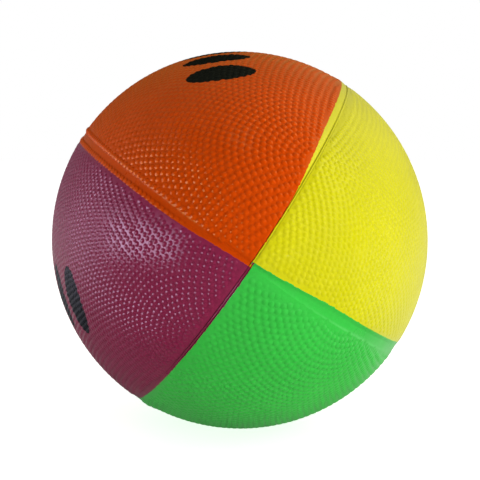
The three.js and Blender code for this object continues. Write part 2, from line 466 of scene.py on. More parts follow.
class NodeBench:
    """Short ways to add nodes to one node tree."""

    def __init__(self, tree: bpy.types.NodeTree) -> None:
        """Starts from an empty tree.

        Args:
            tree: The tree to fill.
        """
        self.tree = tree
        self.tree.nodes.clear()

    def add(
        self, kind: str, inputs: dict[str | int, object] | None = None, **settings: object
    ) -> bpy.types.Node:
        """Adds a node.

        Args:
            kind: Blender's name for the node.
            inputs: What its inputs get, by their names or places.
            **settings: Values for the node's own settings.

        Returns:
            The new node.
        """
        node = self.tree.nodes.new(kind)
        for name, value in settings.items():
            setattr(node, name, value)
        for name, value in (inputs or {}).items():
            self.feed(node.inputs[name], value)
        return node

    def result(
        self, kind: str, inputs: dict[str | int, object] | None = None, **settings: object
    ) -> Socket:
        """Adds a node and gives its first output."""
        return self.add(kind, inputs, **settings).outputs[0]

    def feed(self, socket: Socket, value: object) -> None:
        """Links an output to an input, or sets the input's value.

        Args:
            socket: The input.
            value: An output socket, or a plain value.
        """
        if isinstance(value, Socket):
            self.tree.links.new(value, socket)
        else:
            socket.default_value = value

    @staticmethod
    def in_use(sockets: Iterable[Socket], kind: str) -> list[Socket]:
        """Sockets of one kind that the node's settings leave in use."""
        return [socket for socket in sockets if socket.type == kind and socket.enabled]

    @cached_property
    def place(self) -> Socket:
        """Object coordinates, from one node for the whole tree."""
        return self.add("ShaderNodeTexCoord").outputs["Object"]

    def math(self, operation: str, *values: object) -> Socket:
        """Result of a Math node with those inputs."""
        return self.result("ShaderNodeMath", dict(enumerate(values)), operation=operation)

    def vector(self, operation: str, *values: object) -> bpy.types.Node:
        """Vector Math node with those inputs."""
        return self.add("ShaderNodeVectorMath", dict(enumerate(values)), operation=operation)

    @cached_property
    def from_long_axis(self) -> Socket:
        """Distance from the ball's long axis."""
        flat = self.vector("MULTIPLY", self.place, (1.0, 0.0, 1.0)).outputs["Vector"]
        return self.vector("LENGTH", flat).outputs["Value"]

    def along(self, direction: Direction) -> Socket:
        """Distance along a direction from the ball's centre."""
        return self.vector("DOT_PRODUCT", self.place, direction).outputs["Value"]

    def scaled(self, vector: object, share: Socket) -> Socket:
        """A vector or colour times a share."""
        return self.result("ShaderNodeVectorMath", {0: vector, "Scale": share}, operation="SCALE")

    def ramp(self, value: Socket, span: Span, results: Span = (0.0, 1.0)) -> Socket:
        """Smooth ramp between two results.

        Args:
            value: What drives the ramp.
            span: The values where it starts and ends.
            results: Its results there.

        Returns:
            The result.
        """
        inputs = {"Value": value}
        inputs |= {"From Min": span[0], "From Max": span[1], "To Min": results[0], "To Max": results[1]}
        return self.result("ShaderNodeMapRange", inputs, interpolation_type="SMOOTHSTEP")

    def noise(self, grain: float, detail: float = 2.0) -> Socket:
        """Even noise from 0 to 1, with spots of the grain's size and finer layers of that detail."""
        inputs = {"Vector": self.place, "Scale": 1.0 / grain, "Detail": detail}
        return self.add("ShaderNodeTexNoise", inputs).outputs["Fac"]

    def relief(self, height: Socket, strength: float, depth: float) -> Socket:
        """Normals of a surface with fine relief of that strength and depth."""
        return self.result("ShaderNodeBump", {"Height": height, "Strength": strength, "Distance": depth})

    def blend(self, share: Socket, first: object, second: object) -> Socket:
        """Mixes two colours.

        Args:
            share: Share of the second colour.
            first: First colour.
            second: Second colour.

        Returns:
            The mixed colour.
        """
        node = self.add("ShaderNodeMix", {"Factor": share}, data_type="RGBA")
        for socket, value in zip(self.in_use(node.inputs, "RGBA"), (first, second)):
            self.feed(socket, (*value, 1.0) if isinstance(value, tuple) else value)
        return self.in_use(node.outputs, "RGBA")[0]


def node_material(name: str) -> tuple[bpy.types.Material, NodeBench]:
    """Makes an empty material.

    Args:
        name: Name of the material.

    Returns:
        The material, and the bench for its nodes.
    """
    material = bpy.data.materials.new(name)
    material.use_nodes = True
    return material, NodeBench(material.node_tree)


@dataclass(frozen=True)
class RubberFinish:
    """Moulded semi-gloss rubber of one cover panel."""

    hue: Hue
    shape: BallShape
    design: PanelDesign
    before: PanelDesign
    tone: Span = (0.96, 1.03)
    tone_grain: float = 22 * MM
    mottle: Span = (0.97, 1.03)
    mottle_grain: float = 0.7 * MM
    roughness: Span = (0.16, 0.24)
    roughness_grain: float = 3 * MM
    matt_span: Span = (24 * MM, 46 * MM)
    matt_gain: float = 0.2
    bloom: float = 0.14
    bloom_roughness: float = 0.4
    fine_grain: float = 0.35 * MM
    fine_detail: float = 3.0
    fine_strength: float = 0.18
    fine_depth: float = 0.03 * MM
    wobble: float = 0.9 * MM
    wobble_grain: float = 1.3 * MM
    # Spans over which the painted groove shade fades, outside and inside the grooves.
    groove_outside: Span = (0.276 * MM, 0.46 * MM)
    groove_inside: Span = (0.08 * MM, 0.2 * MM)
    ink_roughness: float = 0.52
    ink_fray: float = 0.1
    ink_grain: float = 0.8 * MM

    def material(self) -> bpy.types.Material:
        """Builds the material.

        Returns:
            The finished material.
        """
        material, bench = node_material(f"{self.hue.value}_cover_rubber")
        colour = bench.blend(self.over_the_edge(bench), self.design.colour, self.before.colour)
        tone = bench.ramp(bench.noise(self.tone_grain), NOISE_SPAN, self.tone)
        mottle = bench.ramp(bench.noise(self.mottle_grain), NOISE_SPAN, self.mottle)
        light = bench.math("MULTIPLY", tone, mottle)
        # Painted shade in the grooves beside the flash line darkens the colour.
        light = bench.math("MULTIPLY", light, self.groove_shade(bench))
        colour = bench.scaled(colour, light)
        roughness = bench.ramp(bench.noise(self.roughness_grain), NOISE_SPAN, self.roughness)
        worn = bench.ramp(bench.from_long_axis, self.matt_span, (0.0, self.matt_gain))
        roughness = bench.math("ADD", roughness, worn)
        bloom: Socket | float = self.bloom
        band = self.design.print_band
        if band:
            ink = self.ink(bench, band)
            colour = bench.blend(ink, colour, band.ink)
            gap = bench.math("SUBTRACT", self.ink_roughness, roughness)
            roughness = bench.math("MULTIPLY_ADD", ink, gap, roughness)
            bloom = bench.math("MULTIPLY_ADD", ink, -self.bloom, self.bloom)
        fine = bench.noise(self.fine_grain, self.fine_detail)
        shader = bench.result(
            "ShaderNodeBsdfPrincipled",
            {
                "Base Color": colour,
                "Roughness": roughness,
                "Specular IOR Level": self.design.gloss,
                "Specular Tint": (*self.design.sheen, 1.0),
                "Sheen Weight": bloom,
                "Sheen Roughness": self.bloom_roughness,
                "Sheen Tint": (*self.design.sheen, 1.0),
                "Normal": bench.relief(fine, self.fine_strength, self.fine_depth),
            },
        )
        bench.add("ShaderNodeOutputMaterial", {"Surface": shader})
        return material

    def over_the_edge(self, bench: NodeBench) -> Socket:
        """Mask of the strip where the neighbour's rubber has flowed over this panel's first edge.

        Args:
            bench: The material's nodes.

        Returns:
            1 in the strip, 0 elsewhere.
        """
        seam = self.shape.seam_angle(self.hue.order)
        inward = bench.along(self.shape.onward(seam))
        edge = self.before.last_edge
        span = (edge.ramp_start, edge.ramp_end)
        reach = bench.ramp(bench.from_long_axis, span, (edge.at_point, edge.along_side))
        wave = bench.math("SUBTRACT", bench.noise(self.wobble_grain), 0.5)
        shifted = bench.math("MULTIPLY_ADD", wave, self.wobble, inward)
        return bench.math("LESS_THAN", shifted, reach)

    def groove_shade(self, bench: NodeBench) -> Socket:
        """Painted shade in the fine grooves beside the flash line, darkening the rubber's colour there.

        Args:
            bench: The material's nodes.

        Returns:
            1 away from the grooves, less where shade is painted in them.
        """
        distance = bench.math("ABSOLUTE", bench.along(self.shape.onward(self.shape.seam_roll)))
        # The grooves' shade is painted into the colour here.
        darkest = 1.0 - self.design.groove_painted_shade
        outer = bench.ramp(distance, self.groove_outside, (darkest, 1.0))
        inner = bench.ramp(distance, self.groove_inside, (1.0, darkest))
        faded = bench.ramp(bench.from_long_axis, self.design.groove_end)
        return bench.math("MAXIMUM", faded, bench.math("MAXIMUM", outer, inner))

    def ink(self, bench: NodeBench, band: PrintBand) -> Socket:
        """Mask of the printed ovals.

        Args:
            bench: The material's nodes.
            band: The ovals' sizes.

        Returns:
            1 in the ovals, 0 elsewhere.
        """
        middle = self.shape.seam_angle(self.hue.order) + math.pi / 4
        across = bench.along(self.shape.onward(middle))
        along = bench.along(LONG_AXIS)
        cell = bench.math("FRACT", bench.math("DIVIDE", along, band.pitch))
        centred = bench.math("SUBTRACT", cell, 0.5)
        step = bench.math("MULTIPLY", centred, band.pitch / band.half_length)
        wide = bench.math("DIVIDE", bench.math("SUBTRACT", across, band.sideways), band.half_width)
        reach = bench.math("MULTIPLY_ADD", step, step, bench.math("MULTIPLY", wide, wide))
        grain = bench.noise(self.ink_grain)
        rough = bench.math("MULTIPLY_ADD", grain, self.ink_fray, -self.ink_fray / 2)
        oval = bench.math("LESS_THAN", bench.math("ADD", reach, rough), 1.0)
        half_row = band.count / 2 * band.pitch
        in_row = bench.math("LESS_THAN", bench.math("ABSOLUTE", along), half_row)
        return bench.math("MULTIPLY", oval, in_row)


@dataclass(frozen=True)
class DarkFinish:
    """Plain rubber or thread of the valve and of the layers inside."""

    name: str
    colour: Colour
    roughness: Span
    grain: Grain = Grain.MOULDED
    spot_grain: float = 2.5 * MM
    spot_detail: float = 4.0
    spot_shade: Span = (0.8, 1.2)
    fine_grain: float = 0.3 * MM
    fine_detail: float = 3.0
    relief_strength: float = 0.4
    relief_depth: float = 0.1 * MM
    thread_pitch: float = 0.6 * MM
    thread_leans: tuple[float, ...] = (0.0, 1.0, -1.0)
    thread_slant: float = 0.6
    thread_shade: Span = (0.55, 1.05)

    def material(self) -> bpy.types.Material:
        """Builds the material.

        Returns:
            The finished material.
        """
        material, bench = node_material(self.name)
        spots = bench.noise(self.spot_grain, self.spot_detail)
        shade = bench.ramp(spots, NOISE_SPAN, self.spot_shade)
        if self.grain is Grain.WOUND:
            height = self.threads(bench)
            shade = bench.math("MULTIPLY", shade, bench.ramp(height, (0.0, 1.0), self.thread_shade))
        else:
            height = bench.noise(self.fine_grain, self.fine_detail)
        shader = bench.result(
            "ShaderNodeBsdfPrincipled",
            {
                "Base Color": bench.scaled(self.colour, shade),
                "Roughness": bench.ramp(spots, NOISE_SPAN, self.roughness),
                "Normal": bench.relief(height, self.relief_strength, self.relief_depth),
            },
        )
        bench.add("ShaderNodeOutputMaterial", {"Surface": shader})
        return material

    def threads(self, bench: NodeBench) -> Socket:
        """Height of threads wound in three directions.

        Args:
            bench: The material's nodes.

        Returns:
            Height from 0 to 1.
        """
        height = None
        for lean in self.thread_leans:
            direction = Vector((lean, 1.0, lean * self.thread_slant)).normalized()
            turn = bench.along(direction)
            wave = bench.math("SINE", bench.math("MULTIPLY", turn, 2 * math.pi / self.thread_pitch))
            crest = bench.math("MULTIPLY_ADD", wave, 0.5, 0.5)
            height = crest if height is None else bench.math("MAXIMUM", height, crest)
        return height


def placed(name: str, data: bpy.types.ID) -> Piece:
    """Makes an object and puts it in the scene.

    Args:
        name: Name of the object.
        data: Its mesh, light or camera.

    Returns:
        The new object.
    """
    thing = bpy.data.objects.new(name, data)
    bpy.context.scene.collection.objects.link(thing)
    return thing


def mesh_object(name: str, points: Array, faces: Faces) -> Piece:
    """Makes a mesh object with its faces turned outwards.

    Args:
        name: Name of the piece.
        points: Its points.
        faces: Its faces, as indices of points.

    Returns:
        The new object.
    """
    mesh = bpy.data.meshes.new(name)
    mesh.from_pydata(points.tolist(), [], faces)
    turned = bmesh.new()
    turned.from_mesh(mesh)
    bmesh.ops.recalc_face_normals(turned, faces=turned.faces)
    turned.to_mesh(mesh)
    turned.free()
    return placed(name, mesh)


def revolved(
    name: str, axis: Direction, across: Direction, outline: list[Span], turns: int, ring: bool = False
) -> Piece:
    """Turns an outline about an axis through the origin.

    Args:
        name: Name of the piece.
        axis: The axis.
        across: Direction square to it, where the turns start.
        outline: Radius of each point, and its place along the axis.
        turns: Steps round the axis.
        ring: True for an outline that runs back to its first point.

    Returns:
        The turned piece.
    """
    axis = np.array(axis)
    turn = np.linspace(0.0, 2 * math.pi, turns, endpoint=False)[:, None]
    spokes = np.cos(turn) * np.array(across) + np.sin(turn) * np.cross(axis, across)
    points: list[Array] = []
    rings: list[list[int]] = []
    for radius, level in outline:
        count = turns if radius > 0.0 else 1
        rings.append([len(points) + i % count for i in range(turns)])
        points.extend(level * axis + radius * spokes[:count])
    following = rings[1:] + rings[:1] if ring else rings[1:]
    faces = []
    for upper, lower in zip(rings, following):
        for i in range(turns):
            j = (i + 1) % turns
            corners = (upper[i], upper[j], lower[j], lower[i])
            faces.append(tuple(dict.fromkeys(corners)))
    return mesh_object(name, np.array(points), faces)


def settled(piece: Piece) -> Piece:
    """Turns a piece and its modifiers into a plain mesh.

    Args:
        piece: The piece with live modifiers.

    Returns:
        The same piece, with the result as its mesh and no modifiers.
    """
    depsgraph = bpy.context.evaluated_depsgraph_get()
    result = bpy.data.meshes.new_from_object(piece.evaluated_get(depsgraph), depsgraph=depsgraph)
    piece.modifiers.clear()
    old = piece.data
    piece.data = result
    bpy.data.meshes.remove(old)
    result.name = piece.name
    return piece


def smooth(piece: Piece, crease: float) -> None:
    """Shades a piece smooth, with edges sharper than the crease angle left crisp."""
    piece.data.shade_smooth()
    piece.data.set_sharp_from_angle(angle=crease)


def dress(piece: Piece, material: bpy.types.Material) -> None:
    """Gives a piece one material."""
    piece.data.materials.clear()
    piece.data.materials.append(material)


class PebbleSet(NamedTuple):
    """Places of pebbles, the skin's normals there, and the scale of each along its widths and height."""

    places: Array
    outward: Array
    scale: Array


@dataclass
class PebbleField:
    """Geometry Nodes tree that sets a low round cap on every point of a panel's pebble layout."""

    width: float = 1.84 * MM
    height: float = 0.42 * MM
    sunk_share: float = 0.15
    sides: int = 7
    bands: int = 6
    variation: float = 0.07
    seed: int = 11
    cut_level: float = -0.01
    least_planar: float = 0.001
    crease: float = math.radians(55)
    tree: bpy.types.NodeTree = field(init=False)
    inputs: dict[str, str] = field(init=False)

    @property
    def sizes(self) -> dict[str, float | int]:
        """Names the tree's inputs that are the same for all panels.

        Returns:
            Their values, by name.
        """
        return {
            "Pebble width": self.width,
            "Pebble height": self.height,
            "Sunk share": self.sunk_share,
            "Sides": self.sides,
            "Bands": self.bands,
            "Variation": self.variation,
            "Seed": self.seed,
        }

    def __post_init__(self) -> None:
        """Builds the tree once, for all panels."""
        self.tree = bpy.data.node_groups.new("pebble_field", "GeometryNodeTree")
        kinds = {"Points": "Geometry"}
        kinds |= {name: "Int" if isinstance(size, int) else "Float" for name, size in self.sizes.items()}
        kinds["Rubber"] = "Material"
        face = self.tree.interface
        self.inputs = {}
        for name, kind in kinds.items():
            entry = face.new_socket(name=name, in_out="INPUT", socket_type=f"NodeSocket{kind}")
            self.inputs[name] = entry.identifier
        face.new_socket(name="Pebbles", in_out="OUTPUT", socket_type="NodeSocketGeometry")
        self.wire()

    def wire(self) -> None:
        """Adds and links the tree's nodes."""
        bench = NodeBench(self.tree)
        given = bench.add("NodeGroupInput").outputs
        outward = {"Vector": self.carried(bench, "outward")}
        swell = bench.add("FunctionNodeRandomValue", {"Seed": given["Seed"]}, data_type="FLOAT")
        lowest, highest = bench.in_use(swell.inputs, "VALUE")[:2]
        bench.feed(lowest, bench.math("SUBTRACT", 1.0, given["Variation"]))
        bench.feed(highest, bench.math("ADD", 1.0, given["Variation"]))
        drawn = bench.in_use(swell.outputs, "VALUE")[0]
        spread = bench.result(
            "GeometryNodeInstanceOnPoints",
            {
                "Points": given["Points"],
                "Instance": self.dome(bench, given),
                "Rotation": bench.result("FunctionNodeAlignRotationToVector", outward, axis="Z"),
                "Scale": bench.scaled(self.carried(bench, "rise"), drawn),
            },
        )
        solid = bench.result("GeometryNodeRealizeInstances", {"Geometry": spread})
        coat = bench.result("GeometryNodeSetMaterial", {"Geometry": solid, "Material": given["Rubber"]})
        bench.add("NodeGroupOutput", {"Pebbles": coat})

    @staticmethod
    def carried(bench: NodeBench, name: str) -> Socket:
        """Vector of that name that the layout's points carry."""
        node = bench.add("GeometryNodeInputNamedAttribute", {"Name": name}, data_type="FLOAT_VECTOR")
        return bench.in_use(node.outputs, "VECTOR")[0]

    def dome(self, bench: NodeBench, given: object) -> Socket:
        """One closed pebble: a low round cap on a flat base.

        Args:
            bench: The tree's nodes.
            given: The tree's inputs.

        Returns:
            The pebble's geometry, with its base a little below zero.
        """
        position = bench.result("GeometryNodeInputPosition")
        place = bench.add("ShaderNodeSeparateXYZ", {"Vector": position}).outputs
        sizes = {"Segments": given["Sides"], "Rings": given["Bands"], "Radius": 1.0}
        ball = bench.result("GeometryNodeMeshUVSphere", sizes)
        below = bench.math("LESS_THAN", place["Z"], self.cut_level)
        cut = {"Geometry": ball, "Selection": below}
        cap = bench.result("GeometryNodeDeleteGeometry", cut, domain="POINT")
        sizes = {"Vertices": given["Sides"], "Radius": 1.0}
        base = bench.result("GeometryNodeMeshCircle", sizes, fill_type="NGON")
        both = bench.add("GeometryNodeJoinGeometry", {"Geometry": cap})
        bench.feed(both.inputs["Geometry"], bench.result("GeometryNodeFlipFaces", {"Mesh": base}))
        closed = bench.result("GeometryNodeMergeByDistance", {"Geometry": both.outputs["Geometry"]})
        moved = {"Geometry": closed, "Position": self.bump(bench, given, place)}
        return bench.result("GeometryNodeSetPosition", moved)

    def bump(self, bench: NodeBench, given: object, place: object) -> Socket:
        """Draws the points of half a ball down to a low cap.

        Args:
            bench: The tree's nodes.
            given: The tree's inputs.
            place: X, Y and Z of the points on the half ball.

        Returns:
            The new places.
        """
        level = place["Z"]
        planar = bench.math("SQRT", bench.math("SUBTRACT", 1.0, bench.math("MULTIPLY", level, level)))
        share = bench.math("DIVIDE", bench.math("ARCCOSINE", level), math.pi / 2)
        stretch = bench.math("DIVIDE", share, bench.math("MAXIMUM", planar, self.least_planar))
        spread = bench.math("MULTIPLY", stretch, bench.math("MULTIPLY", given["Pebble width"], 0.5))
        top = bench.math("SUBTRACT", 1.0, given["Sunk share"])
        above = bench.math("SUBTRACT", top, bench.math("MULTIPLY", share, share))
        moved = {
            "X": bench.math("MULTIPLY", place["X"], spread),
            "Y": bench.math("MULTIPLY", place["Y"], spread),
            "Z": bench.math("MULTIPLY", above, given["Pebble height"]),
        }
        return bench.result("ShaderNodeCombineXYZ", moved)

    def grow(self, name: str, pebbles: PebbleSet, rubber: bpy.types.Material) -> Piece:
        """Grows one panel's pebbles.

        Args:
            name: Name of the piece.
            pebbles: Where the pebbles sit, and how large they are.
            rubber: The panel's material.

        Returns:
            The pebbles as one plain mesh.
        """
        mesh = bpy.data.meshes.new(name)
        mesh.from_pydata(pebbles.places.tolist(), [], [])
        for label, values in (("outward", pebbles.outward), ("rise", pebbles.scale)):
            attribute = mesh.attributes.new(label, "FLOAT_VECTOR", "POINT")
            attribute.data.foreach_set("vector", values.astype(np.float32).ravel())
        piece = placed(name, mesh)
        modifier = piece.modifiers.new("pebbles", "NODES")
        modifier.node_group = self.tree
        for label, value in {**self.sizes, "Rubber": rubber}.items():
            modifier[self.inputs[label]] = value
        settled(piece)
        smooth(piece, self.crease)
        return piece


@dataclass(frozen=True)
class ValvePlace:
    """Where the valve goes through the yellow panel, from the frame's record."""

    axis: Vector
    face_level: float
    hole_radius: float = 4.8 * MM
    drill_reach: float = 5 * MM
    drill_turns: int = 64
    pad_inner: Span = (4.9 * MM, 5.5 * MM)
    pad_outer: Span = (7.2 * MM, 8.1 * MM)
    pad_height: float = 0.30 * MM

    @classmethod
    def from_frame(cls) -> "ValvePlace":
        """Reads the valve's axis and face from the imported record.

        Returns:
            The valve's place.
        """
        axis = Vector(frame["joints"][0]["axis"]).normalized()
        face = next(mount for mount in frame["record"]["mounts"] if mount["name"] == "valve_face")
        return cls(axis=axis, face_level=Vector(face["pos_m"]).dot(axis))

    def distance(self, points: Array) -> Array:
        """Distances of points from the valve's axis.

        Args:
            points: The points, with X, Y and Z last.

        Returns:
            The distances, large on the far side of the ball.
        """
        axis = np.array(self.axis)
        level = points @ axis
        away = np.linalg.norm(points - level[..., None] * axis, axis=-1)
        return np.where(level > 0.0, away, self.face_level)

    def pad(self, points: Array) -> Array:
        """Height of the smooth raised ring moulded round the valve."""
        away = self.distance(points)
        return self.pad_height * (smoothstep(*self.pad_inner, away) - smoothstep(*self.pad_outer, away))

    def drill(self) -> Piece:
        """Makes the cutter for the valve's hole.

        Returns:
            The cutter, a round bar through the skin.
        """
        low = self.face_level - self.drill_reach
        high = self.face_level + self.drill_reach
        bar = [(0.0, low), (self.hole_radius, low), (self.hole_radius, high), (0.0, high)]
        return revolved("valve_drill", self.axis, LONG_AXIS, bar, self.drill_turns)


@dataclass
class CoverPanel:
    """One moulded cover panel with its pebbles."""

    hue: Hue
    shape: BallShape
    meridian: Meridian
    relief: SeamRelief
    design: PanelDesign
    before: PanelDesign
    valve: ValvePlace | None = None
    thickness: float = 1.8 * MM
    crease: float = math.radians(55)
    row_steps: tuple[float, float, float] = (0.18 * MM, 0.08, 1.25 * MM)
    valve_row_step: float = 0.45 * MM
    field_columns: int = 41
    valve_share: float = 0.37
    valve_side_columns: int = 16
    valve_columns: int = 46
    flash_reach: float = 0.56 * MM
    flash_columns: int = 19
    flash_side_columns: int = 9
    cross_reach: float = 0.5 * MM
    cross_columns: int = 14
    lip_reach: float = 1.0 * MM
    lip_columns: int = 15
    edge_share: float = 0.35
    sliver: float = 0.004 * MM
    inner_columns: int = 12
    pebble_pitch: float = 1.82 * MM
    pebble_row: float = 1.62 * MM
    pebble_jitter: float = 0.09 * MM
    jitter_seed: int = 3
    column_bend: float = 0.5
    bend_rounds: int = 8
    narrowest: float = 0.5 * MM
    widest_turn: float = math.radians(80)
    tip_fade: float = 1.8
    edge_rise: float = 0.15
    least_rise: float = 0.1
    low_width: float = 0.6
    wide_rise: float = 0.5
    pad_clearance: float = 0.6 * MM
    rest_clearance: float = 0.4 * MM

    @property
    def seams(self) -> Span:
        """Angles of the panel's two seams."""
        return self.shape.seam_angle(self.hue.order), self.shape.seam_angle(self.hue.order + 1)

    def rows(self) -> Array:
        """Places the skin's rows.

        Returns:
            Their arcs, closer together round the valve.
        """
        stops = self.meridian.stops(*self.row_steps)
        if not self.valve:
            return stops
        reach = self.valve.pad_outer[1] + self.valve_row_step
        fine = np.arange(-reach, reach + self.valve_row_step, self.valve_row_step)
        return np.sort(np.concatenate([stops[np.abs(stops) > fine[-1] + self.valve_row_step], fine]))

    def field_shares(self) -> Array:
        """Places the columns between the bands beside the seams.

        Returns:
            Shares of the field's width, closer together at the valve.
        """
        if not self.valve:
            return np.linspace(0.0, 1.0, self.field_columns)
        sides = np.linspace(0.0, self.valve_share, self.valve_side_columns)
        middle = np.linspace(self.valve_share, 1.0 - self.valve_share, self.valve_columns)
        return np.concatenate([sides, middle[1:-1], 1.0 - sides[::-1]])

    def edge_stations(self, edge: Array, lip: Array, parting: bool) -> Array:
        """Places the columns in the band beside a seam, counted from the seam into the panel.

        Args:
            edge: Where the panel starts in each row.
            lip: Where the channel's lip lies in each row.
            parting: Whether the seam carries the flash line.

        Returns:
            One row of places for each row of the panel.
        """
        reach = self.relief.widest_reach
        if parting:
            side = np.linspace(-reach, -self.flash_reach, self.flash_side_columns)
            fine = np.linspace(-self.flash_reach, self.flash_reach, self.flash_columns)
            near = np.concatenate([side[:-1], fine])
        else:
            near = np.linspace(-reach, self.cross_reach, self.cross_columns)
        shares = np.linspace(0.0, 1.0, self.lip_columns)[1:]
        far = near[-1] + (lip[:, None] + self.lip_reach - near[-1]) * shares
        nominal = np.concatenate([np.broadcast_to(near, (len(edge), len(near))), far], axis=1)
        return np.maximum(nominal, edge[:, None] + self.sliver * np.arange(nominal.shape[1]))

    def columns(self, radius: Array) -> Array:
        """Angles of the skin's columns in each row.

        Args:
            radius: Distance of each row from the long axis.

        Returns:
            One row of angles for each row of the panel.
        """
        lip = self.relief.lip(radius)
        parting_first = self.hue.order % 2 == 0
        first = self.edge_stations(self.before.last_edge.at(radius), lip, parting_first)
        last = self.edge_stations(-self.design.last_edge.at(radius), lip, not parting_first)
        start = self.seams[0] + np.arcsin(np.clip(first[:, 0] / radius, -1.0, 1.0))
        end = self.seams[1] - np.arcsin(np.clip(last[:, 0] / radius, -1.0, 1.0))
        room = self.edge_share * (end - start) * radius
        bands = []
        for stations in (first, last):
            width = stations - stations[:, :1]
            bands.append(width * np.minimum(1.0, room / width[:, -1])[:, None] / radius[:, None])
        from_start = start[:, None] + bands[0]
        from_end = end[:, None] - bands[1]
        shares = self.field_shares()[1:-1]
        inside = from_start[:, -1:] + (from_end[:, -1:] - from_start[:, -1:]) * shares
        return np.concatenate([from_start, inside, from_end[:, ::-1]], axis=1)

    def height(self, latitude: Array, angle: Array) -> Array:
        """Height of the moulded skin over the plain body.

        Args:
            latitude: Angles from the middle to the ends.
            angle: Angles round the long axis.

        Returns:
            The heights.
        """
        radius, _ = self.shape.skin(latitude, np.zeros_like(latitude))
        height = self.relief.height(radius, angle)
        if self.valve:
            height = height + self.valve.pad(self.shape.point(latitude, angle, np.zeros_like(angle)))
        return height

    def build_skin(self) -> Piece:
        """Builds the panel's skin as a closed shell.

        Returns:
            The skin.
        """
        arcs = self.rows()
        angles = self.columns(self.meridian.radius(arcs))
        spread = self.meridian.latitude(arcs)[:, None] + 0.0 * angles
        outer = self.shape.point(spread, angles, self.height(spread, angles))
        outer[..., 2] = np.maximum(outer[..., 2], self.shape.rest_level)
        chosen = np.unique(np.linspace(0, angles.shape[1] - 1, self.inner_columns).astype(int))
        under = np.full(spread[:, chosen].shape, -self.thickness)
        inner = self.shape.point(spread[:, chosen], angles[:, chosen], under)
        ends = []
        for height in (self.relief.height(np.zeros(1), np.zeros(1))[0], -self.thickness):
            for side in (-1.0, 1.0):
                ends.append([0.0, side * (self.shape.half_length + height), 0.0])
        points = np.concatenate([outer.reshape(-1, 3), inner.reshape(-1, 3), np.array(ends)])
        faces = self.shell_faces(len(arcs), angles.shape[1], len(chosen))
        skin = mesh_object(f"{self.hue.value}_cover", points, faces)
        if self.valve:
            self.cut_hole(skin, self.valve.drill())
        smooth(skin, self.crease)
        return skin

    @staticmethod
    def shell_faces(rows: int, columns: int, inner_columns: int) -> Faces:
        """Faces of a shell of an outer grid, an inner grid, two side walls and one point at each end.

        Args:
            rows: Rows of both grids.
            columns: Columns of the outer grid.
            inner_columns: Columns of the inner grid.

        Returns:
            The faces, as indices of points.
        """
        faces: Faces = []
        starts = (0, rows * columns)
        tips = rows * (columns + inner_columns)
        for start, width, tip in zip(starts, (columns, inner_columns), (tips, tips + 2)):
            for j in range(rows - 1):
                for i in range(width - 1):
                    a = start + j * width + i
                    faces.append((a, a + width, a + width + 1, a + 1))
            last = start + (rows - 1) * width
            for i in range(width - 1):
                faces.append((tip, start + i, start + i + 1))
                faces.append((last + i, tip + 1, last + i + 1))
        for outer_column, inner_column in ((0, 0), (columns - 1, inner_columns - 1)):
            rim = [tips] + [j * columns + outer_column for j in range(rows)] + [tips + 1]
            base = starts[1] + inner_column
            hem = [tips + 2] + [base + j * inner_columns for j in range(rows)] + [tips + 3]
            for j in range(rows + 1):
                faces.append((rim[j], hem[j], hem[j + 1], rim[j + 1]))
        return faces

    @staticmethod
    def cut_hole(skin: Piece, drill: Piece) -> None:
        """Cuts a hole through the skin and takes the cutter away.

        Args:
            skin: The panel's skin.
            drill: The cutter.
        """
        cut = skin.modifiers.new("valve_hole", "BOOLEAN")
        cut.operation = "DIFFERENCE"
        cut.solver = "EXACT"
        cut.object = drill
        settled(skin)
        bpy.data.objects.remove(drill)

    def bend(self, arc: Array, radius: Array, turn: Array) -> Array:
        """Shift along the panel of a place in the layout, at that turn from the panel's middle."""
        return self.column_bend * radius * self.meridian.slope(arc) * turn**2 / 2

    def pebble_layout(self) -> PebbleSet:
        """Lays out the pebbles in staggered rows on arcs about a centre beside the panel.

        Returns:
            The pebbles.
        """
        sideways, level = self.arc_rows()
        arc = level
        for _ in range(self.bend_rounds):
            arc = np.clip(arc, -self.meridian.reach, self.meridian.reach)
            radius = np.maximum(self.meridian.radius(arc), self.narrowest)
            turn = sideways / radius
            arc = level + self.bend(arc, radius, turn)
        kept = (np.abs(arc) < self.meridian.reach) & (np.abs(turn) < self.widest_turn)
        batches = [self.risen(arc[kept], turn[kept])]
        batches += [self.border(row) for row in self.design.border_rows]
        return PebbleSet(*(np.concatenate(parts) for parts in zip(*batches)))

    def arc_rows(self) -> tuple[Array, Array]:
        """Spaces the pebbles along the arcs and shakes each a little, as in a hand-cut mould.

        Returns:
            Distances from the panel's middle, and from the ball's middle along the panel.
        """
        centre = self.design.arc_centre
        radius = float(self.meridian.radius(centre.arc))
        bend = float(self.bend(centre.arc, radius, centre.turn))
        middle = np.array([radius * centre.turn, centre.arc - bend])
        facing = math.atan2(-middle[1], -middle[0])
        farthest = 2 * self.meridian.reach + self.shape.girth_radius
        batches = []
        pitch = self.pebble_pitch * self.design.pebble_spread
        step = self.pebble_row * self.design.pebble_spread
        for row in range(int(farthest / step)):
            arm = (row + 0.5) * step
            half = int(math.pi * arm / pitch)
            turns = facing + (np.arange(-half, half) + 0.5 * (row % 2)) * pitch / arm
            batches.append(middle + arm * np.stack([np.cos(turns), np.sin(turns)], axis=-1))
        places = np.concatenate(batches)
        dice = np.random.default_rng(self.hue.order + self.jitter_seed)
        places = places + dice.normal(0.0, self.pebble_jitter, places.shape)
        room = np.abs(places[:, 0]) < self.shape.girth_radius
        room &= np.abs(places[:, 1]) < self.meridian.reach
        return places[room, 0], places[room, 1]

